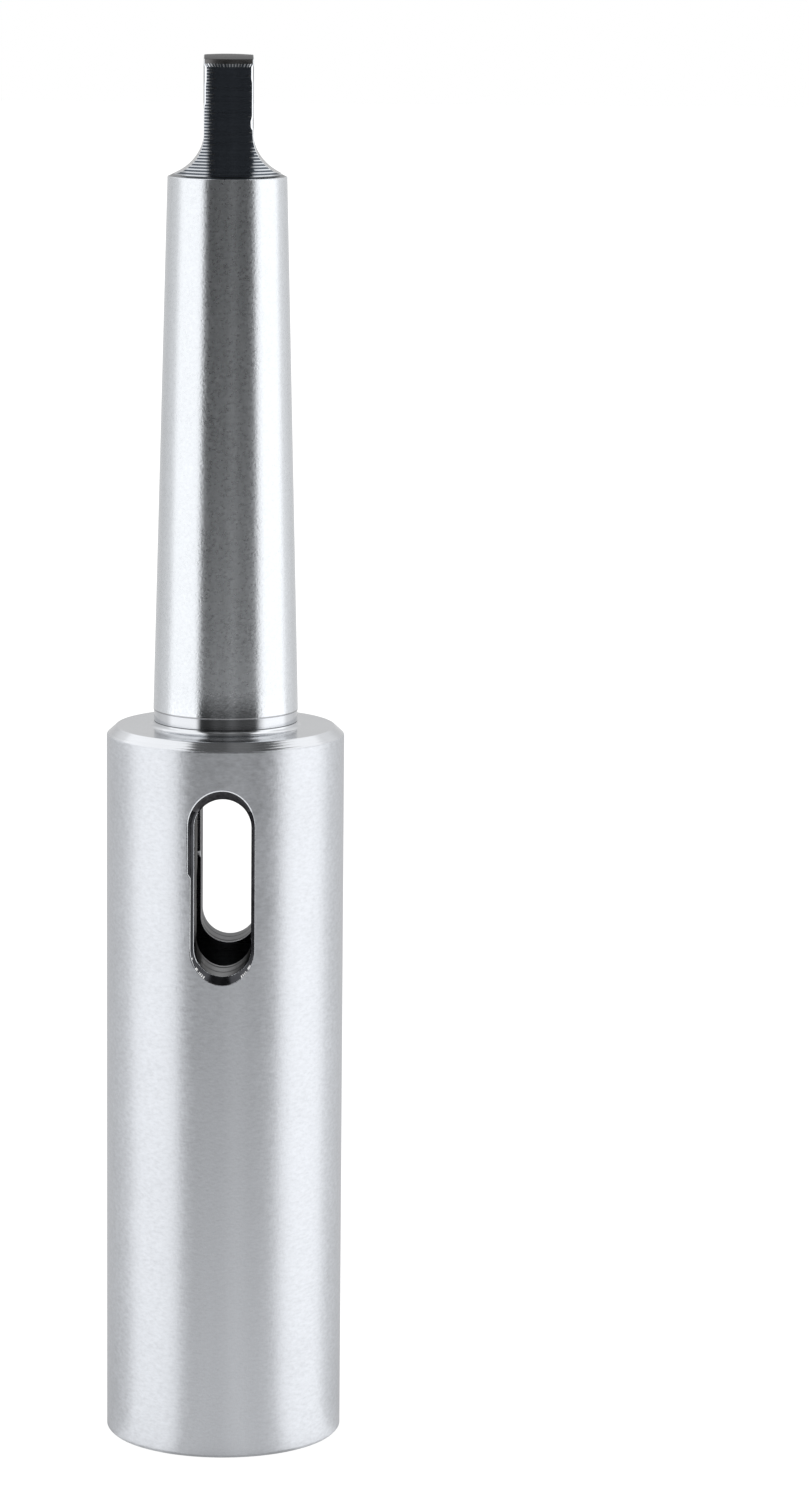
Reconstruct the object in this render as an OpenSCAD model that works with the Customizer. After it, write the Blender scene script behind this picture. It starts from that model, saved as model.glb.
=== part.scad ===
// Extension socket for taper shank tools, turned from one bar of steel.
// It stands on its mouth: +Z runs up the axis to the tang, and the origin is the centre of the mouth face.

/* [Body] */
// Diameter of the body
body_d = 29.8; // [28:0.1:40]
// Length of the body, from the mouth to the shoulder
body_len = 91; // [90:0.5:140]
// Width of the bevel round the shoulder
shoulder_bevel = 1.2; // [0.2:0.1:2.4]
// Height of the bevel round the shoulder
shoulder_drop = 1.1; // [0.2:0.1:2.4]
// Bevel round the foot
foot_bevel = 0.4; // [0.1:0.1:1.2]

/* [Neck] */
// Length of the neck between the shoulder and the ground taper
neck_len = 2.2; // [1.2:0.1:8]
// How far the neck lies below the taper's large end
neck_relief = 0.06; // [0.02:0.01:0.5]
// Radius of the fillet between the neck and the shoulder
neck_fillet = 0.9; // [0.2:0.1:1.1]

/* [Taper shank] */
// Diameter of the taper at its gauge line
gauge_d = 17.78; // [17.5:0.01:18.2]
// What a taper loses on its diameter over one millimetre of length
taper_rate = 0.04995; // [0.0485:0.00005:0.0525]
// Length from the gauge line to the end of the tang
gauge_to_tip = 74.8; // [70:0.1:80]
// Ground length between the neck and the gauge line
overrun = 6.55; // [1:0.05:12]

/* [Tang] */
// Diameter of the turned end that carries the tang
tang_d = 13.5; // [12:0.1:14.2]
// Length of the turned end
tang_len = 15; // [13:0.1:18]
// Thickness of the tang across its flats
tang_t = 6.1; // [4.8:0.1:6.4]
// Radius of the cutter that leaves the flare at the tang's root
flare_r = 5.6; // [4:0.1:6]
// Height of the flare's foot above the small end of the taper
flare_foot = 0.45; // [0.4:0.05:1.5]
// Bevel round the end of the tang
tip_bevel = 0.55; // [0.2:0.05:1.5]
// Height of the crown on the end of the tang
tip_crown = 0.45; // [0.1:0.05:0.9]
// Height of the bevel at the small end of the taper
end_bevel = 0.5; // [0.2:0.05:0.5]

/* [Socket] */
// Diameter of the socket at its mouth
mouth_d = 17.78; // [17.5:0.01:18.2]
// Lead-in bevel at the mouth
mouth_bevel = 0.5; // [0.1:0.1:1.2]
// Diameter of the clearance bore beyond the socket's taper
bore_d = 14.9; // [14.7:0.05:15.4]
// Depth of the clearance bore, from the mouth
bore_depth = 72.8; // [66:0.1:78]
// Diameter of the pilot hole that runs on behind the slot
pilot_d = 10.6; // [8:0.1:12]
// Depth of the pilot hole, from the mouth
pilot_depth = 85; // [80:0.5:88]
// Point angle of the drills
drill_point = 118; // [100:1:140]

/* [Drift slot] */
// Width of the slot
slot_w = 7; // [6:0.1:8.4]
// Length of the slot between its round ends
slot_len = 22.2; // [16:0.1:24]
// Height of the slot's lower end above the mouth
slot_floor = 61.7; // [56:0.1:64]
// Bevel round the slot, measured at the crown of the body
slot_bevel = 1.05; // [0.2:0.05:1.6]

/* [Hidden] */
$fn = 96;
over = 1;                                     // how far a cut runs past the face it opens
body_r = body_d / 2;
ground_foot = body_len + neck_len;            // where the ground taper starts
gauge_z = ground_foot + overrun;
tip_z = gauge_z + gauge_to_tip;
small_end_z = tip_z - tang_len;
large_r = (gauge_d + overrun * taper_rate) / 2;
small_r = (gauge_d - (small_end_z - gauge_z) * taper_rate) / 2;
neck_r = large_r - neck_relief;
tang_r = tang_d / 2;
crown_w = tang_r - tip_bevel;                 // half the width of the crown
crown_r = (crown_w * crown_w + tip_crown * tip_crown) / 2 / tip_crown;
crown_z = tip_z - tip_crown;                  // foot of the crown
socket_len = (mouth_d - bore_d) / taper_rate;
lead_d = mouth_d - mouth_bevel * taper_rate;  // where the lead-in bevel meets the taper
slot_r = slot_w / 2;
slot_low = slot_floor + slot_r;               // centres of the slot's round ends
slot_high = slot_floor + slot_len - slot_r;

// Outline of the turned blank from the foot to the small end of the taper, on one side of the axis.
module blank_outline() {
    polygon([
        [0, 0],
        [body_r - foot_bevel, 0],
        [body_r, foot_bevel],
        [body_r, body_len - shoulder_drop],
        [body_r - shoulder_bevel, body_len],
        [neck_r, body_len],
        [neck_r, ground_foot],
        [large_r, ground_foot],
        [small_r, small_end_z],
        [tang_r, small_end_z + end_bevel],
        [tang_r, crown_z - tip_bevel],
        [crown_w, crown_z],
        [0, crown_z]
    ]);
    // low crown on the end of the tang
    intersection() {
        translate([0, tip_z - crown_r]) circle(r = crown_r);
        translate([0, crown_z - tip_bevel]) square([crown_w, tip_bevel + tip_crown]);
    }
    // concave fillet at the foot of the neck
    translate([neck_r, body_len]) difference() {
        square(neck_fillet);
        translate([neck_fillet, neck_fillet]) circle(r = neck_fillet);
    }
}

// A drilled hole from the mouth: straight to its depth, then the drill's point.
module drilled(d, depth) {
    point_h = d / 2 / tan(drill_point / 2);
    translate([0, 0, -over]) cylinder(h = depth + over, d = d);
    translate([0, 0, depth]) cylinder(h = point_h, d1 = d, d2 = 0);
}

// The socket: lead-in bevel, ground taper, clearance bore and pilot hole.
module socket() {
    translate([0, 0, -over])
        cylinder(h = mouth_bevel + over, d1 = lead_d + 2 * (mouth_bevel + over), d2 = lead_d);
    cylinder(h = socket_len, d1 = mouth_d, d2 = bore_d);
    drilled(bore_d, bore_depth);
    drilled(pilot_d, pilot_depth);
}

// One side of the tang: a round cutter's sweep, which leaves a flat that flares into the taper.
module flank_cut() {
    centre_x = tang_t / 2 + flare_r;
    centre_z = small_end_z + flare_foot + flare_r;
    rotate([90, 0, 0]) linear_extrude(height = body_d, center = true) {
        translate([centre_x, centre_z]) circle(r = flare_r);
        translate([tang_t / 2, centre_z]) square([body_r, tip_z - centre_z + over]);
        translate([centre_x, centre_z - flare_r]) square([body_r, tip_z - centre_z + flare_r + over]);
    }
}

// Half of the bevel round one mouth of the slot: cones at its round ends and a wedge between them.
module slot_bevel_cut() {
    reach = slot_bevel + over;                // the cut starts outside the body, at 45 degrees
    translate([0, -body_r - over, 0]) {
        for (z = [slot_low, slot_high])
            translate([0, 0, z]) rotate([-90, 0, 0]) cylinder(h = reach, r1 = slot_r + reach, r2 = slot_r);
        translate([0, 0, slot_low]) linear_extrude(height = slot_high - slot_low)
            polygon([[-slot_r - reach, 0], [slot_r + reach, 0], [slot_r, reach], [-slot_r, reach]]);
    }
}

// The drift slot, milled right through the body along Y, with both of its mouths bevelled.
module drift_slot() {
    rotate([90, 0, 0]) linear_extrude(height = body_d + 2 * over, center = true) {
        translate([0, slot_low]) circle(r = slot_r);
        translate([0, slot_high]) circle(r = slot_r);
        translate([-slot_r, slot_low]) square([slot_w, slot_high - slot_low]);
    }
    slot_bevel_cut();
    mirror([0, 1, 0]) slot_bevel_cut();
}

module extension_socket() {
    color([0.74, 0.75, 0.77])
        difference() {
            rotate_extrude() blank_outline();
            socket();
            drift_slot();
            flank_cut();
            mirror([1, 0, 0]) flank_cut();
        }
}

extension_socket();
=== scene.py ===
import math

import bpy
from mathutils import Matrix, Vector


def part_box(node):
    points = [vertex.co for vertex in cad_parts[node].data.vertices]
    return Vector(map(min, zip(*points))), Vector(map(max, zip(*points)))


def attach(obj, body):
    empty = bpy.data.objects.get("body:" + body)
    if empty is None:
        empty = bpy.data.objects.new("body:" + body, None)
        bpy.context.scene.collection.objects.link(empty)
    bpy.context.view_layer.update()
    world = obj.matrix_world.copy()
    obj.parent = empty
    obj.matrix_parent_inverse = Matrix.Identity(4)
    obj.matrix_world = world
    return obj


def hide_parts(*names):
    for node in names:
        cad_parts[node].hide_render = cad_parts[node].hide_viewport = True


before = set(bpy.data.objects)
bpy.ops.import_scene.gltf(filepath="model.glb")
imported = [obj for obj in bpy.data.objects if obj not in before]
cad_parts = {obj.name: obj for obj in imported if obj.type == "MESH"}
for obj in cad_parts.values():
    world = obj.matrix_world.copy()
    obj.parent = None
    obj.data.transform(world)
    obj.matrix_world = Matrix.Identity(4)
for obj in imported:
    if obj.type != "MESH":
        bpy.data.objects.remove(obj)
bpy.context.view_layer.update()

# Extension socket for taper shank tools: one turned piece of steel, standing on its mouth.
# The sizes of the steel are in millimetres; +Z runs up the axis and the drift slot runs along Y.
mm = 0.001
nodeName = "extension_socket"
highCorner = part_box(nodeName)[1]
tipHeight = round(highCorner.z / mm, 3)
bodyRadius = round(highCorner.x / mm, 3)

blank = {
    "columns": 256,            # facets round the outside
    "shoulderHeight": 91.0,
    "shoulderDrop": 1.1,
    "shoulderBevel": 1.2,
    "footBevel": 0.4,
    "neckLength": 2.2,
    "neckRelief": 0.06,
    "neckFillet": 0.6,
    "gaugeDiameter": 17.78,
    "taperRate": 0.04995,      # on the diameter, for each mm of length
    "gaugeToTip": 74.8,
    "edgeBreak": 0.14,         # how far sharp edges are rounded off
    # fine tool lines on the shoulder, as (how far along, width, depth): on the bevel, then on the flat
    "bevelLines": ((0.28, 0.06, 0.011), (0.54, 0.04, 0.005), (0.78, 0.04, 0.005)),
    "flatLines": ((0.78, 0.012, 0.010),),
    "neckLine": 0.1,           # height of the painted shade line above the neck's fillet
    "startEdge": (0.16, 0.014, 0.02),      # worn edge where the taper starts: height, depth, step under it
    "fineBreak": 0.02,         # rounding of the edges on the neck
    "coarseFrom": (0.6, 0.3),  # the facets are halved between these two heights below the small end
}
tang = {
    "diameter": 13.5,
    "length": 15.0,
    "thickness": 6.1,
    "turned": 1.78,            # the flats were milled this many degrees round from the slot
    "offCentre": 0.12,         # and this far towards +X
    "flareRadius": 5.2,
    "flareFoot": 0.1,
    "tipBevel": 0.55,
    "tipCrown": 0.45,
    "endBevel": 0.28,
    "endBreak": 0.1,
    "endDark": 0.4,            # how much of that bevel is black
    "turnPitch": 0.38,         # spacing of the turning grooves
    "turnDepth": 0.0065,
    "crestShare": 0.42,        # how much of each groove is its crest, which gets a painted highlight at the sides
    "highlightFrom": (-17, 24),     # the crests get the painted highlight beyond these directions, left and right, in degrees
    "ragged": (3, 2.4),        # how many degrees their ends wander, and how quickly
    "chatterHeight": 0.34,     # of the chatter marks under the bevel at the tip
    "chatterSlope": 0.4,
    "arcColumns": 64,          # facets of each turned face between the flats
    "flankColumns": 14,        # facets across each flat
    "topBreak": 0.07,
    "tipEdge": 0.04,           # how far the tip's face reaches over its bevel
    "cornerBreak": 0.1,        # rounding between the long bevels and the flats
    "bevelLimit": 0.4,         # a long bevel takes no more than this share of half a turned face
    "breakLimit": 0.3,         # and its rounding no more than this share of the bevel
    # width of the bevel on the long edges, by height, on the left and on the right
    "leftEdges": ((160.5, 0.02), (164.0, 0.05), (168.3, 0.09), (168.8, 0.26), (171.0, 0.27), (171.4, 0.34),
                  (173.2, 0.36), (173.5, 0.1)),
    "rightEdges": ((160.5, 0.02), (163.0, 0.06), (165.5, 0.12), (165.8, 0.33), (166.6, 0.36), (167.2, 0.2),
                   (171.3, 0.2), (171.7, 0.3), (173.2, 0.3), (173.5, 0.1)),
}
socket = {
    "columns": 128,
    "mouthDiameter": 17.78,
    "mouthBevel": 0.5,
    "edgeBreak": 0.06,
    "pointBreak": 0.04,        # rounding of the drill point's edge
    "ringWidth": 1.0,          # the facets are halved across this ring on the foot
    "boreDiameter": 14.9,
    "boreDepth": 72.8,
    "pilotDiameter": 10.6,
    "pilotDepth": 85.0,
    "drillPoint": 118.0,
}
slot = {
    "width": 7.0,
    "length": 22.2,
    "floor": 61.65,
    "bevel": 1.08,
    "backBevel": 1.5,
    "offCentre": 0.14,         # the front mouth, towards +X
    "backOffCentre": 0.22,     # the back mouth, towards +X
    "wideBevel": 0.46,         # more bevel on the left of the front mouth, above the burr
    "topBevel": 0.18,          # and at its upper and lower end
    "lowBevel": -0.1,
    "burrHeight": 74.1,
    "edgeBreak": 0.1,          # on the left and at the top
    "cleanShare": 0.4,         # how much of that the other edges have
    "wallBreak": (1.6, 2.2),   # how many times that between bevel and wall, on the left and elsewhere
    "boreBreak": 1.8,          # and between wall and bore
    "wornLand": 0.2,           # how far the land on the left leans outwards
    # the front bevel is meshed in three strips, and the outer one has the worn specks at these degrees: bare
    # steel, set where the side lights glint, so partly a painted highlight
    "bevelSteps": (0.36, 0.3),
    "wornGlintSpots": ((-166, -124), (-56, -22)),
    "wornGlintRhythm": 1.9,
    "toolLines": ((0.36, 0.43), (0.78, 0.88)),   # dark lines along the wall, as shares of its depth
    "halfColumns": 19,         # half the width of the window meshed round the slot, in columns
    "margin": 2.4,             # from the bevel to the window's upper and lower side
    "endRows": 14,
    "boreLow": 60.9,           # the window on the bore's side
    "boreHigh": 84.6,
}

neckTop = blank["shoulderHeight"] + blank["neckLength"]
gaugeHeight = tipHeight - blank["gaugeToTip"]
smallEnd = tipHeight - tang["length"]
largeRadius = (blank["gaugeDiameter"] + (gaugeHeight - neckTop) * blank["taperRate"]) / 2
smallRadius = (blank["gaugeDiameter"] - (smallEnd - gaugeHeight) * blank["taperRate"]) / 2
neckRadius = largeRadius - blank["neckRelief"]
tangRadius = tang["diameter"] / 2
tangHalf = tang["thickness"] / 2
crownFoot = tangRadius - tang["tipBevel"]
crownRadius = (crownFoot ** 2 + tang["tipCrown"] ** 2) / 2 / tang["tipCrown"]
flareX = tangHalf + tang["flareRadius"]
flareZ = smallEnd + tang["flareFoot"] + tang["flareRadius"]
slotRadius = slot["width"] / 2
slotLow = slot["floor"] + slotRadius
slotHigh = slot["floor"] + slot["length"] - slotRadius
boreRadius = socket["boreDiameter"] / 2
pilotRadius = socket["pilotDiameter"] / 2
drillSlope = math.tan(math.radians(socket["drillPoint"] / 2))   # radius over height of a drill's point
stepHeight = round(socket["boreDepth"] + (boreRadius - pilotRadius) / drillSlope, 3)
socketLength = (socket["mouthDiameter"] - socket["boreDiameter"]) / blank["taperRate"]
footMiddle = (boreRadius + bodyRadius) / 2     # the foot's outer and inner facets meet here
trimLimit = 0.42           # no rounding takes more than this share of a face


# A skin collects faces whose corners carry their own normals, and welds corners that meet.
def newSkin():
    return {"points": [], "lookup": {}, "faces": [], "normals": [], "finishes": []}


def addFace(skin, corners, finish, ordered=False):
    ids, normals = [], []
    for point, normal in corners:
        key = (round(point[0], 4), round(point[1], 4), round(point[2], 4))
        if key not in skin["lookup"]:
            skin["lookup"][key] = len(skin["points"])
            skin["points"].append(Vector(point))
        if skin["lookup"][key] not in ids:
            ids.append(skin["lookup"][key])
            normals.append(Vector(normal).normalized())
    if len(ids) < 3:
        return
    spots = [skin["points"][i] for i in ids]
    facing = Vector((0, 0, 0))
    for a, b in zip(spots, spots[1:] + spots[:1]):
        facing += (a - spots[0]).cross(b - spots[0])
    if not ordered and facing.dot(sum(normals, Vector((0, 0, 0)))) < 0:
        ids.reverse()
        normals.reverse()
    skin["faces"].append(ids)
    skin["normals"].extend(normals)
    skin["finishes"].append(finish)


def addGrid(skin, rows, finishes, closed=False):
    for low, high in zip(rows, rows[1:]):
        count = len(low) if closed else len(low) - 1
        for i in range(count):
            j = (i + 1) % len(low)
            finish = finishes[i] if isinstance(finishes, list) else finishes
            addFace(skin, [low[i], low[j], high[j], high[i]], finish, closed)


def evenly(start, end, count):
    return [start + (end - start) * i / count for i in range(count + 1)]


def blendOf(a, b, t):
    return tuple(p + (q - p) * t for p, q in zip(a, b))


def valueAt(table, place):
    for (a, low), (b, high) in zip(table, table[1:]):
        if place < b:
            return low + (high - low) * max(0.0, place - a) / (b - a)
    return table[-1][1]


# Turned work. A strip is (low point, high point, normal at each, finish), as (radius, height) pairs.
def profileStrips(corners, finishes, trim, steps=3):
    edges = []
    for (r0, z0), (r1, z1) in zip(corners, corners[1:]):
        length = math.hypot(r1 - r0, z1 - z0)
        edges.append(((z1 - z0) / length, (r0 - r1) / length, length))
    strips = []
    for k, (nr, nz, length) in enumerate(edges):
        cutA = 0 if k == 0 else min(trim, trimLimit * length, trimLimit * edges[k - 1][2])
        cutB = 0 if k == len(edges) - 1 else min(trim, trimLimit * length, trimLimit * edges[k + 1][2])
        a, b = corners[k], corners[k + 1]
        start, end = blendOf(a, b, cutA / length), blendOf(a, b, 1 - cutB / length)
        strips.append((start, end, (nr, nz), (nr, nz), finishes[k]))
        if k < len(edges) - 1:
            after = blendOf(b, corners[k + 2], cutB / edges[k + 1][2])
            spots = []
            for t in evenly(0, 1, steps):
                spot = blendOf(blendOf(end, b, t), blendOf(b, after, t), t)
                spots.append((spot, blendOf((nr, nz), edges[k + 1][:2], t)))
            for (p, n), (q, m) in zip(spots, spots[1:]):
                strips.append((p, q, n, m, finishes[k]))
    return strips


def around(point, normal, angle):
    c, s = math.cos(angle), math.sin(angle)
    return (point[0] * c, point[0] * s, point[1]), (normal[0] * c, normal[0] * s, normal[1])


def turnStrips(skin, strips, columns, leftOut=None):
    for low, high, lowNormal, highNormal, finish in strips:
        for k in range(columns):
            if leftOut and leftOut(k, (low[1] + high[1]) / 2):
                continue
            a, b = 2 * math.pi * k / columns, 2 * math.pi * ((k + 1) % columns) / columns
            addFace(skin, [around(low, lowNormal, a), around(low, lowNormal, b),
                           around(high, highNormal, b), around(high, highNormal, a)], finish)


# Joins a ring of columns to one of half as many.
def halveColumns(skin, fine, coarse, normal, finish, columns):
    for k in range(columns // 2):
        turn = [2 * math.pi * ((2 * k + i) % columns) / columns for i in range(3)]
        outer = [around(fine, normal, a) for a in turn]
        inner = [around(coarse, normal, turn[0]), around(coarse, normal, turn[2])]
        addFace(skin, [outer[0], outer[1], inner[0]], finish)
        addFace(skin, [outer[1], inner[1], inner[0]], finish)
        addFace(skin, [outer[1], outer[2], inner[1]], finish)


def inWindow(columns, low, high):
    half = slot["halfColumns"]
    centres = (columns // 4, 3 * columns // 4)

    def test(k, height):
        return low < height < high and any(c - half <= k < c + half for c in centres)
    return test


straightRows = (evenly(slotLow, socket["boreDepth"], 12)
                + evenly(socket["boreDepth"], stepHeight, 3)[1:]
                + evenly(stepHeight, slotHigh, 13)[1:])
windowLow = slot["floor"] - slot["bevel"] - slot["margin"]
windowHigh = slot["floor"] + slot["length"] + slot["bevel"] + slot["margin"]
bodyRows = evenly(windowLow, slotLow, slot["endRows"])[:-1] + straightRows
bodyRows += evenly(slotHigh, windowHigh, slot["endRows"])[1:]
boreRows = evenly(slot["boreLow"], slotLow, slot["endRows"])[:-1] + straightRows
boreRows += evenly(slotHigh, slot["boreHigh"], slot["endRows"])[1:]


def boreRadiusAt(height):
    if height <= socket["boreDepth"]:
        return boreRadius
    return max(pilotRadius, boreRadius - (height - socket["boreDepth"]) * drillSlope)


def boreNormalAt(height):
    if socket["boreDepth"] < height < stepHeight:
        size = math.hypot(1, drillSlope)
        return (-1 / size, -drillSlope / size)
    return (-1.0, 0.0)


def makeBody(skin):
    foot, edge, columns = blank["footBevel"], blank["edgeBreak"], blank["columns"]
    path = [(footMiddle, 0), (bodyRadius - foot, 0), (bodyRadius, foot), (bodyRadius, windowLow)]
    turnStrips(skin, profileStrips(path, ["turnedFace", "groundBody", "groundBody"], edge), columns)
    wall = [((bodyRadius, a), (bodyRadius, b), (1, 0), (1, 0), "groundBody")
            for a, b in zip(bodyRows, bodyRows[1:])]
    turnStrips(skin, wall, columns, inWindow(columns, windowLow, windowHigh))


# The shoulder's bevel and flat with their tool lines, up to the foot of the neck's fillet.
def makeShoulder(skin, flatEnd):
    shoulder = blank["shoulderHeight"]
    bevelFoot = (bodyRadius, shoulder - blank["shoulderDrop"])
    bevelTop = (bodyRadius - blank["shoulderBevel"], shoulder)
    path = [(bodyRadius, windowHigh), bevelFoot]
    faces = ((bevelFoot, bevelTop, blank["bevelLines"]), (bevelTop, flatEnd, blank["flatLines"]))
    for a, b, lines in faces:
        down = Vector((b[1] - a[1], a[0] - b[0])).normalized()
        for place, width, depth in lines:
            middle = blendOf(a, b, place)
            path += [blendOf(a, b, place - width), (middle[0] - down.x * depth, middle[1] - down.y * depth),
                     blendOf(a, b, place + width)]
        path.append(b)
    high = profileStrips(path, ["groundBody"] + ["turnedFace"] * (len(path) - 2), blank["edgeBreak"])
    turnStrips(skin, high, blank["columns"])


def makeNeck(skin, centre):
    fillet = blank["neckFillet"]
    arc = []
    for t in evenly(0, math.pi / 2, 10):
        normal = (math.sin(t), math.cos(t))
        arc.append(((centre[0] - fillet * normal[0], centre[1] - fillet * normal[1]), normal))
    turnStrips(skin, [(p, q, n, m, "turnedFace") for (p, n), (q, m) in zip(arc, arc[1:])], blank["columns"])


def makeShank(skin, foot):
    columns = blank["columns"]
    slope = blank["taperRate"] / 2
    near, far = [(smallRadius + down * slope, smallEnd - down) for down in blank["coarseFrom"]]
    tall, deep, step = blank["startEdge"]
    edgeFoot = neckTop - tall
    path = [(neckRadius, foot), (neckRadius, foot + blank["neckLine"]), (neckRadius, edgeFoot - step),
            (largeRadius - deep, edgeFoot), (largeRadius, neckTop), near]
    # the line at the neck's foot, in the fillet's crease, is a painted shade
    finishes = ["dullEdge", "mirrorNeck", "milledFlat", "milledFlat", "groundTaper"]
    turnStrips(skin, profileStrips(path, finishes, blank["fineBreak"]), columns)
    halveColumns(skin, near, far, Vector((1, slope)).normalized(), "groundTaper", columns)
    coneFoot, coneTop = (smallRadius, smallEnd), (tangRadius, smallEnd + tang["endBevel"])
    # the end bevel is black oxide low down, then a painted shade strip up to the tang
    rim = profileStrips([far, coneFoot, blendOf(coneFoot, coneTop, tang["endDark"]), coneTop],
                        ["groundTaper", "blackTurned", "dullEdge"], tang["endBreak"])
    turnStrips(skin, rim, columns // 2)


def makeOutside(skin):
    centre = (neckRadius + blank["neckFillet"], blank["shoulderHeight"] + blank["neckFillet"])
    makeBody(skin)
    makeShoulder(skin, (centre[0], blank["shoulderHeight"]))
    makeNeck(skin, centre)
    makeShank(skin, centre[1])


def makeInside(skin):
    columns = socket["columns"]
    mouthRadius = socket["mouthDiameter"] / 2
    bevelTop = mouthRadius - socket["mouthBevel"] * blank["taperRate"] / 2
    footInner = footMiddle - socket["ringWidth"]
    lead = profileStrips([(boreRadius, slot["boreLow"]), (boreRadius, socketLength),
                          (bevelTop, socket["mouthBevel"]), (bevelTop + socket["mouthBevel"], 0),
                          (footInner, 0)],
                         ["socketInside", "socketInside", "turnedFace", "turnedFace"], socket["edgeBreak"])
    turnStrips(skin, lead, columns)
    halveColumns(skin, (footMiddle, 0), (footInner, 0), (0, -1), "turnedFace", 2 * columns)
    wall = []
    for a, b in zip(boreRows, boreRows[1:]):
        normal = boreNormalAt((a + b) / 2)
        wall.append(((boreRadiusAt(a), a), (boreRadiusAt(b), b), normal, normal, "socketInside"))
    turnStrips(skin, wall, columns, inWindow(columns, boreRows[0], boreRows[-1]))
    apex = socket["pilotDepth"] + pilotRadius / drillSlope
    end = profileStrips([(0, apex), (pilotRadius, socket["pilotDepth"]), (pilotRadius, boreRows[-1])],
                        ["socketInside", "socketInside"], socket["pointBreak"])
    turnStrips(skin, end, columns)


# The slot: every station round its outline is one chain of points from the body, over the bevel
# and down the wall to the bore.
def windowStations():
    half, top = slot["halfColumns"], len(bodyRows) - 1
    ring = [(c, 0) for c in range(-half, half)]
    ring += [(half, r) for r in range(top)]
    ring += [(c, top) for c in range(half, -half, -1)]
    ring += [(-half, r) for r in range(top, 0, -1)]
    stations = []
    for column, row in ring:
        turn = 2 * math.pi * column / blank["columns"]
        centre = min(slotHigh, max(slotLow, bodyRows[row]))
        away = Vector((bodyRadius * turn, bodyRows[row] - centre)).normalized()
        stations.append({"turn": turn, "height": bodyRows[row], "centre": centre, "away": away,
                         "boreTurn": 2 * turn, "boreHeight": boreRows[row]})
    return stations


def onCylinder(radius, turn, height):
    return Vector((radius * math.sin(turn), -radius * math.cos(turn), height))


def roundedEdge(before, edge, after, normalA, normalB, size, steps=3):
    start = edge + (before - edge).normalized() * min(size, 0.4 * (before - edge).length)
    end = edge + (after - edge).normalized() * min(size, 0.4 * (after - edge).length)
    return [(start.lerp(edge, t).lerp(edge.lerp(end, t), t), normalA.lerp(normalB, t))
            for t in evenly(0, 1, steps)]


def bevelAt(station, back):
    if back:
        return slot["backBevel"]
    nx, nz = station["away"]
    bevel = slot["bevel"] + slot["topBevel" if nz > 0 else "lowBevel"] * nz ** 2
    if nx > 0 or station["height"] < slot["burrHeight"]:
        return bevel
    return bevel + slot["wideBevel"] * nx ** 2


# The slot's edges at a station: outside the bevel, inside it, and in the bore.
def slotEdges(station, back):
    nx, nz = station["away"]
    shift = -slot["backOffCentre"] if back else slot["offCentre"]
    half = bodyRadius - bevelAt(station, back)
    foot = shift + slotRadius * nx
    # where the 45 degree bevel comes out of the body
    qa, qb, qc = nx * nx + 1, 2 * (foot * nx + half), foot ** 2 + half ** 2 - bodyRadius ** 2
    reach = (-qb + math.sqrt(qb * qb - 4 * qa * qc)) / (2 * qa)
    outer = Vector((foot + reach * nx, -(half + reach), station["centre"] + (slotRadius + reach) * nz))
    inner = Vector((foot, -half, station["centre"] + slotRadius * nz))
    bore = boreRadiusAt(inner.z)
    return outer, inner, Vector((inner.x, -math.sqrt(bore ** 2 - inner.x ** 2), inner.z))


def alongBody(station, outer, edgeTurn):
    chain = []
    for t in (0, 0.3, 0.55, 0.75, 0.9):
        turn = station["turn"] + (edgeTurn - station["turn"]) * t
        spot = onCylinder(bodyRadius, turn, station["height"] + (outer.z - station["height"]) * t)
        chain.append((spot, Vector((math.sin(turn), -math.cos(turn), 0)), "groundBody"))
    return chain


def alongBore(station, inner, boreNormal):
    nr, nh = boreNormal
    edgeTurn = math.asin(inner.x / boreRadiusAt(inner.z))
    chain = []
    for t in (0.0, 0.2, 0.5, 1.0):
        turn = edgeTurn + (station["boreTurn"] - edgeTurn) * t
        height = inner.z + (station["boreHeight"] - inner.z) * t
        normal = Vector((math.sin(turn) * nr, -math.cos(turn) * nr, nh))
        chain.append((onCylinder(boreRadiusAt(height), turn, height), normal, "socketInside"))
    return chain


# Worn bare specks on the front bevel, where the side lights glint: partly wear, partly a painted highlight.
def isWornGlint(nx, nz):
    place = math.degrees(math.atan2(nz, nx))
    return any(a < place < b for a, b in slot["wornGlintSpots"]) and math.sin(place * slot["wornGlintRhythm"]) > 0.1


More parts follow.
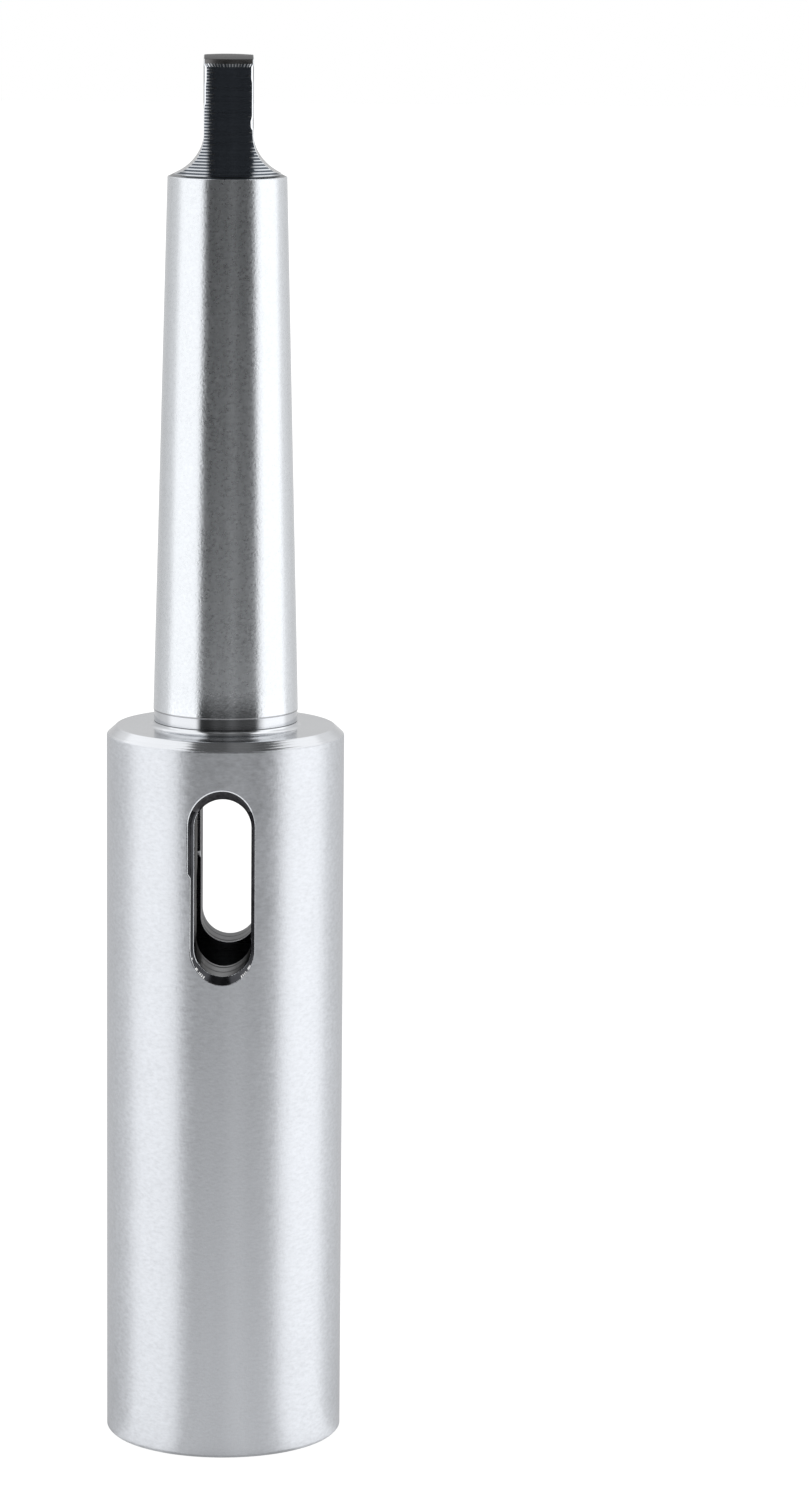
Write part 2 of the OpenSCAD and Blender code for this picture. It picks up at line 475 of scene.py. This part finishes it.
def slotChain(station, boreNormal, back):
    nx, nz = station["away"]
    outer, inner, mouth = slotEdges(station, back)
    edgeTurn = math.asin(outer.x / bodyRadius)
    chain = alongBody(station, outer, edgeTurn)

    def refinish(finish):
        chain[-1] = (chain[-1][0], chain[-1][1], finish)

    radial = Vector((math.sin(edgeTurn), -math.cos(edgeTurn), 0))
    bevelNormal = Vector((-nx, -1, -nz)).normalized()
    wallNormal = Vector((-nx, 0, -nz))
    atTop, atLeft, atSide = nz > 0.5, nx < -0.8, abs(nx) >= 0.8
    broken = slot["edgeBreak"] * (1 if atTop or nx < -0.5 < nz else slot["cleanShare"])
    for spot, normal in roundedEdge(chain[-1][0], outer, inner, radial, bevelNormal, broken):
        chain.append((spot, normal, "brightEdge"))

    land = bevelNormal.lerp(radial, slot["wornLand"] if atLeft else 0)
    size = slot["wallBreak"][0 if atLeft else 1] * broken
    bends = roundedEdge(outer, inner, mouth, land, wallNormal, size)
    # at the top the bevel gets a lighter copy of its dark oxide: painted light
    dark = "slotTop" if atTop else "slotBevel"
    refinish("wornBevel" if not back and isWornGlint(nx, nz) else dark)
    for t in slot["bevelSteps"]:
        chain.append((chain[-1][0].lerp(bends[0][0], t), bevelNormal, dark))
    # under the top, the rounding into the wall gets a painted shade
    for spot, normal in bends:
        chain.append((spot, normal, "slotSide" if atTop else "brightEdge"))

    # the side walls of the front mouth get a near-black painted shade; the back walls and the floor keep the
    # wall's colour
    wall = "slotWall" if back else "slotSide" if atSide else "slotFloor"
    refinish(wall)
    for start, end in slot["toolLines"]:
        chain.append((inner.lerp(mouth, start), wallNormal, "slotSide"))
        chain.append((inner.lerp(mouth, end), wallNormal, wall))
    bore = alongBore(station, inner, boreNormal)
    size = slot["boreBreak"] * broken
    for spot, normal in roundedEdge(inner, mouth, bore[1][0], wallNormal, bore[0][1], size):
        chain.append((spot, normal, "brightEdge"))
    refinish("socketInside")
    return chain + bore[1:]


def makeSlot(skin, back):
    stations = windowStations()
    side = -1 if back else 1

    def placed(item):
        spot, normal, finish = item
        return ((spot.x * side, spot.y * side, spot.z), (normal.x * side, normal.y * side, normal.z))

    for first, second in zip(stations, stations[1:] + stations[:1]):
        normal = boreNormalAt((first["boreHeight"] + second["boreHeight"]) / 2)
        a, b = slotChain(first, normal, back), slotChain(second, normal, back)
        for i in range(len(a) - 1):
            addFace(skin, [placed(a[i]), placed(b[i]), placed(b[i + 1]), placed(a[i + 1])], a[i][2])


# The tang: rings of two turned arcs, front and back, with a flank on each side.
def flankAt(height):
    if height >= flareZ:
        return tangHalf, (1.0, 0.0)
    drop = min(flareZ - height, tang["flareRadius"])
    across = math.sqrt(tang["flareRadius"] ** 2 - drop ** 2)
    return flareX - across, (across / tang["flareRadius"], drop / tang["flareRadius"])


def crownAt(x, y):
    return tipHeight - crownRadius + math.sqrt(crownRadius ** 2 - x * x - y * y)


# Each half of the ring is an arc, a bevel, a flat and a bevel; the bevels have their own normals.
def tangRing(radius, height, slope):
    flank, flankNormal = flankAt(height)
    flank = min(flank, radius)
    wide = {1: valueAt(tang["rightEdges"], height), -1: valueAt(tang["leftEdges"], height)}
    cornerX, cornerY, reach = {}, {}, {}
    for side in (1, -1):
        size = min(wide[side], tang["bevelLimit"] * math.sqrt(radius ** 2 - flank ** 2))
        cornerX[side] = flank - size
        cornerY[side] = math.sqrt(radius ** 2 - cornerX[side] ** 2)
        reach[side] = max(0.0, cornerY[side] - size) if flank < radius else 0.0
        cornerY[side] = cornerY[side] if flank < radius else 0.0
    ring = []
    for side in (1, -1):
        turns = [math.asin(min(1.0, cornerX[s] / radius)) for s in (-side, side)]
        for turn in evenly(-turns[0], turns[1], tang["arcColumns"]):
            spot = (side * radius * math.sin(turn), -side * radius * math.cos(turn), height)
            ring.append((spot, (side * math.sin(turn), -side * math.cos(turn), slope)))
        corner = (side * cornerX[side], -side * cornerY[side], height)
        small = min(tang["cornerBreak"], tang["breakLimit"] * (cornerY[side] - reach[side]))
        edge = (side * (flank - small), -side * (reach[side] + small), height)
        ring += [(corner, (side, -side, 0)), (edge, (side, -side, 0))]
        for y in evenly(-reach[side], reach[side], tang["flankColumns"]):
            ring.append(((side * flank, side * y, height), (side * flankNormal[0], 0, flankNormal[1])))
        for x, y, z in (edge, corner):
            ring.append(((x, -y, z), (side, side, 0)))
    return ring


def twisted(ring):
    c, s = (f(math.radians(tang["turned"])) for f in (math.cos, math.sin))
    return [((p[0] * c - p[1] * s + tang["offCentre"], p[0] * s + p[1] * c, p[2]),
             (n[0] * c - n[1] * s, n[0] * s + n[1] * c, n[2])) for p, n in ring]


# the roundings between the long bevels and the flats carry a painted shade strip
def ringFinishes(arc):
    flank = ["brightEdge", "dullEdge"] + ["milledFlat"] * tang["flankColumns"] + ["dullEdge", "brightEdge"]
    return ([arc] * (tang["arcColumns"] + 1) + flank + [arc]) * 2


# The crests of the turning grooves get a lighter colour on both sides of the dark middle: a painted highlight
# where they face the side lights.
def crestFinishes(ring, groove):
    degrees, quickly = tang["ragged"]
    left, right = tang["highlightFrom"]
    ragged = degrees * math.sin(groove * quickly)
    finishes = ringFinishes("blackTurned")
    for k, ((x, y, z), normal) in enumerate(ring):
        turn = math.degrees(math.atan2(math.copysign(1, -y) * x, abs(y))) + ragged
        if finishes[k] == "blackTurned" and not left < turn < right:
            finishes[k] = "brightCrest"
    return finishes


# The chatter marks just under the tip's bevel are bright here and there.
def chatterFinishes():
    finishes = ringFinishes("blackTurned")
    for k in range(tang["arcColumns"]):
        if k % 4 < 2 and k % 7:
            finishes[k] = "brightEdge"
    return finishes


def makeTurnedLength(skin, start, end):
    count = round((end - start) / tang["turnPitch"])
    pitch = (end - start) / count
    crest = tang["crestShare"]
    # the flare starts at this height
    foot = flareZ - math.sqrt(tang["flareRadius"] ** 2 - (flareX - tangRadius) ** 2)
    cuts = {round(start + pitch * (k + f), 4) for k in range(count) for f in (0, crest, 0.5, 1 - crest)}
    cuts = sorted(cuts | {round(end, 4), round(foot, 4), round(flareZ, 4)})
    chatterFrom = end - tang["chatterHeight"]
    chatter = chatterFinishes()

    def grooved(height, groove):
        t = round((height - start) / pitch - groove, 3)
        steep = 4 * tang["turnDepth"] / pitch
        return tangRadius - 4 * tang["turnDepth"] * t * (1 - t), steep * (1 - 2 * t)

    for a, b in zip(cuts, cuts[1:]):
        middle = ((a + b) / 2 - start) / pitch
        groove = math.floor(middle)
        rings = []
        for height in (a, b):
            radius, slope = grooved(height, groove)
            ring = tangRing(radius, height, tang["chatterSlope"] if b > chatterFrom else slope)
            rings.append(twisted(ring) if height > foot else ring)
        onCrest = middle - groove < crest
        finishes = crestFinishes(ring, groove) if onCrest else ringFinishes("blackTurned")
        addGrid(skin, rings, chatter if b > chatterFrom else finishes, True)


# The bevel round the tip, its crown's rounded edge, and the crown.
def makeTip(skin, end, crownHeight):
    arcs, flanks = tang["arcColumns"], tang["flankColumns"]
    small, reach = tang["topBreak"], tang["tipEdge"]
    half = arcs + flanks + 6
    rim, top = [], []
    for k, ((x, y, z), normal) in enumerate(tangRing(crownFoot - small, crownHeight, 0)):
        onFlat = arcs + 1 < k % half < half - 1
        drop = small if onFlat else 0
        rim.append(((x, y, crownAt(x, y) - drop), normal if onFlat else (x, y, crownRadius)))
        if onFlat:
            x -= math.copysign(small if arcs + 2 < k % half < half - 2 else small / 2, x)
        top.append(((x, y, crownAt(x, y)), (x, y, crownRadius)))
    high = tangRing(crownFoot + reach, crownHeight - reach, 1.0)
    addGrid(skin, [twisted(tangRing(tangRadius, end, 1.0)), twisted(high)], ringFinishes("tipBevel"), True)
    addGrid(skin, [twisted(high), twisted(rim)], ringFinishes("tipFace"), True)
    addGrid(skin, [twisted(rim), twisted(top)], ringFinishes("tipFace"), True)
    front, back = top[:arcs + 1], top[half:half + arcs + 1][::-1]
    rightSide, leftSide = top[arcs + 3:half - 2], top[half + arcs + 3:2 * half - 2][::-1]
    lines = []
    for k in range(flanks + 1):
        line = [leftSide[k]]
        for f, g in zip(front, back):
            x, y, z = blendOf(f[0], g[0], k / flanks)
            line.append(((x, y, crownAt(x, y)), (x, y, crownRadius)))
        lines.append(twisted(line + [rightSide[k]]))
    addGrid(skin, lines, "tipFace")
    for k in (arcs + 1, half - 3, half + arcs + 1, 2 * half - 3):
        addFace(skin, twisted(top[k:k + 3]), "tipFace")


def makeTang(skin):
    crownHeight = tipHeight - tang["tipCrown"]
    end = crownHeight - tang["tipBevel"]
    makeTurnedLength(skin, smallEnd + tang["endBevel"], end)
    makeTip(skin, end, crownHeight)


print("turning the blank")
skin = newSkin()
makeOutside(skin)
makeInside(skin)
print("milling the slot and the tang")
makeSlot(skin, False)
makeSlot(skin, True)
makeTang(skin)


# Steel finishes. Colours are linear, reliefs are in metres, and streaks and grain are counts to the metre.
cloudScale = 130.0
steelLooks = {
    "groundBody": {"colour": (0.60, 0.618, 0.650), "rough": 0.39, "brushed": 0.8,
                   "streak": (1300, 1300, 2600), "roughSwing": 0.12, "shadeSwing": 0.22, "cloudy": 0.3,
                   "bump": 5e-6, "grain": 3400, "grainBump": 14e-6},
    "turnedFace": {"colour": (0.60, 0.615, 0.640), "rough": 0.15, "brushed": 0.4,
                   "streak": (30, 30, 9000), "roughSwing": 0.03, "shadeSwing": 0.05, "bump": 0.6e-6,
                   "grain": 2600, "grainBump": 1.2e-6},
    "mirrorNeck": {"colour": (0.58, 0.595, 0.620), "rough": 0.12, "brushed": 0.4,
                   "streak": (30, 30, 9000), "roughSwing": 0.02, "shadeSwing": 0.05, "bump": 0.3e-6,
                   "grain": 2600, "grainBump": 1e-6},
    "groundTaper": {"colour": (0.65, 0.672, 0.70), "rough": 0.285, "brushed": 0.85,
                    "streak": (2300, 2300, 2600), "roughSwing": 0.05, "shadeSwing": 0.13,
                    "cloudy": 0.25, "bump": 5e-6, "grain": 3400, "grainBump": 13e-6,
                    # smoother between these heights, down to this share of the roughness
                    "smoother": (93.2, 96.5, 0.45)},
    "blackTurned": {"colour": (0.066, 0.077, 0.094), "rough": 0.16, "brushed": 0.3,
                    "streak": (60, 60, 5000), "metal": 0.7, "roughSwing": 0.05, "shadeSwing": 0.2,
                    "bump": 0.8e-6, "grain": 2600, "grainBump": 1e-6},
    # crests in a lighter copy of the black oxide: a painted highlight
    "brightCrest": {"colour": (0.46, 0.478, 0.50), "rough": 0.16, "brushed": 0.3,
                    "streak": (60, 60, 5000), "roughSwing": 0.05, "shadeSwing": 0.2, "bump": 0.8e-6,
                    "grain": 2600, "grainBump": 2e-6},
    "brightEdge": {"colour": (0.70, 0.72, 0.75), "rough": 0.2, "streak": (900, 900, 900),
                   "roughSwing": 0.05, "shadeSwing": 0.1, "bump": 1.2e-6, "grain": 2600,
                   "grainBump": 4e-6},
    # a dark copy of the steel: painted shade on edges and in the neck's crease
    "dullEdge": {"colour": (0.14, 0.145, 0.15), "rough": 0.3, "streak": (900, 900, 900),
                 "roughSwing": 0.05, "shadeSwing": 0.1, "bump": 1.2e-6, "grain": 2600,
                 "grainBump": 2e-6},
    "milledFlat": {"colour": (0.36, 0.365, 0.38), "rough": 0.2, "brushed": 0.4,
                   "streak": (40, 40, 7000), "roughSwing": 0.05, "shadeSwing": 0.12, "bump": 1.2e-6,
                   "grain": 2600, "grainBump": 2e-6},
    "tipBevel": {"colour": (0.14, 0.137, 0.137), "rough": 0.24, "streak": (700, 700, 2500),
                 "roughSwing": 0.06, "shadeSwing": 0.45, "bump": 4e-6, "grain": 3500,
                 "grainBump": 3e-6},
    "tipFace": {"colour": (0.085, 0.085, 0.088), "rough": 0.3, "streak": (420, 1500, 1500),
                "roughSwing": 0.08, "shadeSwing": 1.0, "bump": 30e-6, "grain": 3000, "grainBump": 8e-6,
                "grazing": 0.56},
    "slotBevel": {"colour": (0.048, 0.049, 0.054), "rough": 0.2, "streak": (900, 900, 900),
                  "roughSwing": 0.1, "shadeSwing": 0.5, "bump": 3e-6, "grain": 4000, "grainBump": 3e-6},
    # a lighter copy of the bevel's dark oxide: painted light on the top bevel
    "slotTop": {"colour": (0.13, 0.13, 0.138), "rough": 0.36, "streak": (3000, 3000, 200),
                "roughSwing": 0.1, "shadeSwing": 0.4, "bump": 2e-6, "grain": 4000, "grainBump": 2e-6},
    # near-black copy of the wall: painted shade on the front mouth's sides, and the dark tool lines
    "slotSide": {"colour": (0.03, 0.03, 0.032), "rough": 0.36, "streak": (3000, 3000, 200),
                 "roughSwing": 0.1, "shadeSwing": 0.4, "bump": 2e-6, "grain": 4000, "grainBump": 2e-6,
                 "grazing": 0.5},
    "slotWall": {"colour": (0.17, 0.172, 0.18), "rough": 0.34, "streak": (2500, 400, 2500),
                 "roughSwing": 0.1, "shadeSwing": 0.6, "bump": 6e-6, "grain": 4000, "grainBump": 4e-6,
                 "grazing": 0.65},
    "slotFloor": {"colour": (0.17, 0.172, 0.18), "rough": 0.34, "streak": (2500, 400, 2500),
                  "roughSwing": 0.1, "shadeSwing": 0.6, "bump": 6e-6, "grain": 4000, "grainBump": 4e-6,
                  "grazing": 0.85},
    # bare steel specks: worn, and placed as a painted glint
    "wornBevel": {"colour": (0.75, 0.76, 0.78), "rough": 0.24, "streak": (2600, 2600, 2600),
                  "roughSwing": 0.1, "shadeSwing": 0.9, "bump": 16e-6, "grain": 4000,
                  "grainBump": 12e-6},
    "socketInside": {"colour": (0.26, 0.265, 0.28), "rough": 0.3, "brushed": 0.4,
                     "streak": (60, 60, 6000), "roughSwing": 0.08, "shadeSwing": 0.3, "bump": 1e-6,
                     "grain": 3000, "grainBump": 2e-6},
}


def addNode(tree, kind, inputs=None, **settings):
    node = tree.nodes.new(kind)
    for name, value in settings.items():
        setattr(node, name, value)
    for name, value in (inputs or {}).items():
        if isinstance(value, bpy.types.NodeSocket):
            tree.links.new(value, node.inputs[name])
        else:
            node.inputs[name].default_value = value
    return node


def maths(tree, operation, *values):
    return addNode(tree, "ShaderNodeMath", dict(enumerate(values)), operation=operation).outputs[0]


def mapped(tree, value, start, end, low=0.0, high=1.0, **settings):
    inputs = {"Value": value, "From Min": start, "From Max": end, "To Min": low, "To Max": high}
    return addNode(tree, "ShaderNodeMapRange", inputs, **settings).outputs["Result"]


def noise(tree, place, scale, detail=3.0):
    inputs = {"Vector": place, "Scale": scale, "Detail": detail, "Roughness": 0.6}
    return addNode(tree, "ShaderNodeTexNoise", inputs).outputs["Fac"]


# Shade and roughness swing with upright or level streaks and with soft clouds; the grain is relief alone.
def makeSteel(name, look):
    material = bpy.data.materials.new(name)
    material.use_nodes = True
    tree = material.node_tree
    shader = tree.nodes["Principled BSDF"]
    place = addNode(tree, "ShaderNodeTexCoord").outputs["Object"]
    lines = addNode(tree, "ShaderNodeVectorMath", {0: place, 1: look["streak"]}, operation="MULTIPLY")
    streaks = noise(tree, lines.outputs[0], 1.0)
    clouds = noise(tree, place, cloudScale)
    grain = noise(tree, place, look["grain"], 2.0)
    cloudy = look.get("cloudy", 1.0)
    mixed = maths(tree, "MULTIPLY_ADD", clouds, cloudy, streaks)
    span = (0.1 + 0.5 * cloudy, 0.9 + 0.5 * cloudy)
    swing = look["shadeSwing"]
    shade = addNode(tree, "ShaderNodeMix", {"Factor": mapped(tree, mixed, *span)}, data_type="RGBA")
    shade.inputs[6].default_value = (*[c * (1 - swing) for c in look["colour"]], 1)
    shade.inputs[7].default_value = (*[min(1, c * (1 + swing)) for c in look["colour"]], 1)
    tree.links.new(shade.outputs[2], shader.inputs["Base Color"])
    rough, roughSwing = look["rough"], look["roughSwing"]
    rough = mapped(tree, mixed, *span, rough - roughSwing, rough + roughSwing)
    if "smoother" in look:
        low, high, share = look["smoother"]
        height = addNode(tree, "ShaderNodeSeparateXYZ", {0: place}).outputs[2]
        rough = maths(tree, "MULTIPLY", rough, mapped(tree, height, low * mm, high * mm, share, 1.0))
    tree.links.new(rough, shader.inputs["Roughness"])
    edge = look.get("grazing", 1.0)     # how much it still mirrors at a grazing angle
    shader.inputs["Specular Tint"].default_value = (edge, edge, edge, 1)
    relief = maths(tree, "MULTIPLY", grain, look["grainBump"] * 1000)
    relief = maths(tree, "MULTIPLY_ADD", streaks, look["bump"] * 1000, relief)
    bump = addNode(tree, "ShaderNodeBump", {"Height": relief, "Strength": 1.0, "Distance": mm})
    tree.links.new(bump.outputs["Normal"], shader.inputs["Normal"])
    shader.inputs["Metallic"].default_value = look.get("metal", 1.0)
    if "brushed" in look:
        shader.inputs["Anisotropic"].default_value = look["brushed"]
        shader.inputs["Anisotropic Rotation"].default_value = 0.25
        tangent = addNode(tree, "ShaderNodeTangent", direction_type="RADIAL", axis="Z")
        tree.links.new(tangent.outputs["Tangent"], shader.inputs["Tangent"])
    return material


def makePiece(skin):
    mesh = bpy.data.meshes.new("socketSteel")
    mesh.from_pydata([p * mm for p in skin["points"]], [], skin["faces"])
    finishNames = list(steelLooks)
    for name in finishNames:
        mesh.materials.append(makeSteel(name, steelLooks[name]))
    mesh.polygons.foreach_set("material_index", [finishNames.index(f) for f in skin["finishes"]])
    mesh.polygons.foreach_set("use_smooth", [True] * len(skin["faces"]))
    mesh.normals_split_custom_set(skin["normals"])
    mesh.update()
    piece = bpy.data.objects.new("socketSteel", mesh)
    bpy.context.scene.collection.objects.link(piece)
    print("socketSteel:", len(mesh.vertices), "points,", len(mesh.polygons), "faces")
    return piece


print("finishing the steel")
steelPiece = makePiece(skin)
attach(steelPiece, "root")
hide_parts(nodeName)

# The studio, by direction round the object: 0 degrees is the front (-Y) and 180 the back.
studio = {
    "turned": 6.0,             # the whole set-up is turned this far towards +X
    "frontEdge": (44, 55),     # the dark front ends here and the side lights start
    "farRightEdge": (46, 65),  # the same on the right, at some distances
    "farRight": ((0.50, 0.0), (0.58, 1.0), (0.75, 1.0), (1.0, 0.3)),
    "sideTilt": 0.05,          # how much stronger the right is than the left
    "levels": ((45, 1.54), (101, 1.58), (113, 1.0), (140, 0.76), (180, 0.7)),
    # the wall in front, by the sine of its height: dark, with a light high up
    "frontWall": ((0.0, 0.06), (0.12, 0.05), (0.38, 0.05), (0.43, 0.55), (0.55, 0.55), (0.60, 0.14),
                  (0.80, 0.14)),
    "highBack": ((0.3, 1.0), (0.51, 1.03), (0.57, 1.42)),     # the sides and the back, high up
    "backLean": 0.06,          # that light starts higher on the right
    "backFrom": (-0.2, 0.1),   # it comes in from the front to the back,
    "highFrom": (0.2, 0.45),   # and from low to high
    # bright and dark bands in the far front, by direction
    "frontShade": ((-50, 0.85), (-38, 0.5), (-30, 0.55), (-21, 0.95), (-7, 0.8), (6, 1.45), (20, 0.85),
                   (33, 0.9), (43, 1.1), (52, 1.4)),
    "ceiling": (0.07, 0.36, 0.42),         # straight overhead: its middle, its dark and bright reach
    "ceilingFrom": (0.72, 0.86),           # it comes in between these heights
    "ceilingShade": ((-0.3, 0.12), (0.0, 0.12), (0.06, 0.21), (0.24, 0.19), (0.3, 0.12)),
    # the floor in front, by its distance in metres
    "frontFloor": ((0.0165, 1.2), (0.03, 1.25), (0.1, 1.18), (0.2, 1.18), (0.28, 0.8), (0.40, 0.2),
                   (0.53, 0.055), (0.63, 0.07), (0.8, 0.13), (1.0, 0.08), (4.0, 0.05)),
    "paintedFootShadow": ((0.0149, 0.45), (0.0165, 0.84), (0.03, 0.86), (0.12, 1.0)),     # painted shadow in the floor's glow, darker close to the foot
    "unevenFrom": (0.2, 0.4, 0.2, 1.0),    # its bands grow between two distances, from and to these strengths
    "bodySpan": 0.015,         # the near floor is read as from the wall of the part, not from its axis,
    "nearest": 0.02,           # down to this distance
    "nearTurn": 0.6,           # and its directions spread by the sine of this share of them
    "floorShare": 0.3,         # how much of the floor's own shading the camera sees
    "floorWhite": 1.3,
    "floorReach": 4.0,
    "floorDrop": 0.03 * mm,    # keeps the floor clear of the part's foot
}


def ramped(tree, value, stops):
    ramp = addNode(tree, "ShaderNodeValToRGB", {"Fac": value})
    elements = ramp.color_ramp.elements
    while len(elements) < len(stops):
        elements.new(0.5)
    for element, (position, level) in zip(elements, stops):
        element.position = position
        element.color = (level / 2, level / 2, level / 2, 1)
    return maths(tree, "MULTIPLY", ramp.outputs["Color"], 2.0)


def rise(tree, value, start, end, low=0.0, high=1.0):
    return mapped(tree, value, start, end, low, high, interpolation_type="SMOOTHSTEP")


def mixValue(tree, share, a, b):
    return addNode(tree, "ShaderNodeMix", {"Factor": share, "A": a, "B": b}).outputs["Result"]


# How bright the studio is in the direction of (x, y), with the dark front between the side lights.
def levelByTurn(tree, x, y, frontLevel, uneven, farRight, nearby=0.0):
    turn = maths(tree, "ARCTAN2", x, maths(tree, "MULTIPLY", y, -1.0))
    turn = maths(tree, "SUBTRACT", turn, math.radians(studio["turned"]))
    across = mapped(tree, turn, -math.pi / 2, math.pi / 2)
    shade = ramped(tree, across, [(degrees / 180 + 0.5, level) for degrees, level in studio["frontShade"]])
    frontLevel = maths(tree, "MULTIPLY", mixValue(tree, uneven, 1.0, shade), frontLevel)
    swell = maths(tree, "SINE", maths(tree, "MULTIPLY", turn, studio["nearTurn"]))
    turn = maths(tree, "MULTIPLY_ADD", swell, nearby, turn)
    share = maths(tree, "DIVIDE", turn, math.pi)
    levels = [(degrees / 180, level) for degrees, level in studio["levels"]]
    sides = ramped(tree, maths(tree, "ABSOLUTE", share), levels)
    tilt = maths(tree, "MULTIPLY_ADD", maths(tree, "SINE", turn), studio["sideTilt"], 1.0)
    sides = maths(tree, "MULTIPLY", sides, tilt)
    (start, end), (farStart, farEnd) = studio["frontEdge"], studio["farRightEdge"]
    left = rise(tree, maths(tree, "MULTIPLY", share, -1.0), start / 180, end / 180)
    edge = mixValue(tree, farRight, rise(tree, share, start / 180, end / 180),
                    rise(tree, share, farStart / 180, farEnd / 180))
    return mixValue(tree, maths(tree, "MAXIMUM", edge, left), frontLevel, sides)


# What the steel mirrors above the floor; the camera itself sees plain white.
def makeWorld():
    world = bpy.data.worlds.new("studio")
    bpy.context.scene.world = world
    world.use_nodes = True
    tree = world.node_tree
    direction = addNode(tree, "ShaderNodeTexCoord").outputs["Generated"]
    x, y, z = addNode(tree, "ShaderNodeSeparateXYZ", {0: direction}).outputs
    wall = ramped(tree, z, studio["frontWall"])
    level = levelByTurn(tree, x, y, wall, 1.0, studio["farRight"][-1][1])
    lift = maths(tree, "MULTIPLY", rise(tree, y, *studio["backFrom"]), rise(tree, z, *studio["highFrom"]))
    lean = maths(tree, "MULTIPLY_ADD", x, -studio["backLean"], z)
    level = mixValue(tree, lift, level, ramped(tree, lean, studio["highBack"]))
    middle, darkReach, brightReach = studio["ceiling"]
    shades = [(place / 2 + 0.5, shade) for place, shade in studio["ceilingShade"]]
    ceilingLevel = ramped(tree, mapped(tree, x, -1.0, 1.0), shades)
    sideways = maths(tree, "ABSOLUTE", maths(tree, "SUBTRACT", x, middle))
    overhead = maths(tree, "MULTIPLY", rise(tree, sideways, brightReach, darkReach),
                     rise(tree, z, *studio["ceilingFrom"]))
    level = mixValue(tree, overhead, level, ceilingLevel)
    cameraRay = addNode(tree, "ShaderNodeLightPath").outputs["Is Camera Ray"]
    backdrop = tree.nodes["Background"]
    backdrop.inputs["Color"].default_value = (1, 1, 1, 1)
    tree.links.new(mixValue(tree, cameraRay, level, 1.0), backdrop.inputs["Strength"])


# The floor glows as the steel mirrors it, is matt for other light, and nearly white for the camera.
def makeFloorPaint():
    paint = bpy.data.materials.new("floorPaint")
    paint.use_nodes = True
    tree = paint.node_tree
    tree.nodes.clear()
    position = addNode(tree, "ShaderNodeNewGeometry").outputs["Position"]
    x, y, z = addNode(tree, "ShaderNodeSeparateXYZ", {0: position}).outputs
    reach = addNode(tree, "ShaderNodeVectorMath", {0: position}, operation="LENGTH").outputs["Value"]
    share = mapped(tree, maths(tree, "LOGARITHM", reach, 10.0), -2.0, 1.0)     # from 10 mm to 10 m
    near, footShadow, farRight = (
        ramped(tree, share, [((math.log10(distance) + 2) / 3, level) for distance, level in studio[name]])
        for name in ("frontFloor", "paintedFootShadow", "farRight"))
    nearby = maths(tree, "DIVIDE", studio["bodySpan"], maths(tree, "MAXIMUM", reach, studio["nearest"]))
    level = levelByTurn(tree, x, y, near, rise(tree, reach, *studio["unevenFrom"]), farRight, nearby)
    rays = addNode(tree, "ShaderNodeLightPath").outputs
    mirrored = maths(tree, "MAXIMUM", rays["Is Glossy Ray"], rays["Is Transmission Ray"])
    white = (1, 1, 1, 1)
    matt = addNode(tree, "ShaderNodeBsdfDiffuse", {"Color": (0.9, 0.9, 0.9, 1)}).outputs[0]
    # the glow is darkened close to the foot: a painted contact shadow
    level = maths(tree, "MULTIPLY", level, footShadow)
    glow = addNode(tree, "ShaderNodeEmission", {"Color": white, "Strength": level})
    plain = addNode(tree, "ShaderNodeEmission", {"Color": white, "Strength": studio["floorWhite"]})
    seen = addNode(tree, "ShaderNodeMixShader", {0: studio["floorShare"], 1: plain.outputs[0], 2: matt})
    toCamera = addNode(tree, "ShaderNodeMixShader", {0: rays["Is Camera Ray"], 1: matt, 2: seen.outputs[0]})
    final = addNode(tree, "ShaderNodeMixShader", {0: mirrored, 1: toCamera.outputs[0], 2: glow.outputs[0]})
    addNode(tree, "ShaderNodeOutputMaterial", {"Surface": final.outputs[0]})
    return paint


def makeFloor():
    far = studio["floorReach"]
    mesh = bpy.data.meshes.new("studioFloor")
    mesh.from_pydata([(-far, -far, 0), (far, -far, 0), (far, far, 0), (-far, far, 0)], [], [(0, 1, 2, 3)])
    mesh.materials.append(makeFloorPaint())
    floor = bpy.data.objects.new("studioFloor", mesh)
    floor.location.z = -studio["floorDrop"]
    bpy.context.scene.collection.objects.link(floor)
    return floor


# The camera, found from the photograph's own perspective: millimetres, and degrees.
cameraView = {
    "place": (20.2341, -648.7968, 195.8291),
    "yaw": -0.1989,
    "down": 9.4392,
    "roll": 0.5131,
    "lens": 125.594,
    "sensor": 36.0,
    "clip": (0.01, 50.0),
}


def placeCamera():
    yaw, down, roll = (math.radians(cameraView[name]) for name in ("yaw", "down", "roll"))
    right = Vector((math.cos(yaw), math.sin(yaw), 0))
    ahead = Vector((-math.sin(yaw), math.cos(yaw), 0))
    upward = ahead * math.sin(down) + Vector((0, 0, math.cos(down)))
    forward = ahead * math.cos(down) - Vector((0, 0, math.sin(down)))
    tiltedRight = right * math.cos(roll) + upward * math.sin(roll)
    tiltedUp = -right * math.sin(roll) + upward * math.cos(roll)
    turned = Matrix((tiltedRight, tiltedUp, -forward)).transposed().to_4x4()
    data = bpy.data.cameras.new("camera")
    data.lens = cameraView["lens"]
    data.sensor_width = cameraView["sensor"]
    data.clip_start, data.clip_end = cameraView["clip"]
    camera = bpy.data.objects.new("camera", data)
    camera.matrix_world = Matrix.Translation(Vector(cameraView["place"]) * mm) @ turned
    bpy.context.scene.collection.objects.link(camera)
    bpy.context.scene.camera = camera


print("setting up the studio")
makeWorld()
makeFloor()
placeCamera()
bpy.context.scene.view_settings.view_transform = "Standard"

bpy.context.view_layer.update()
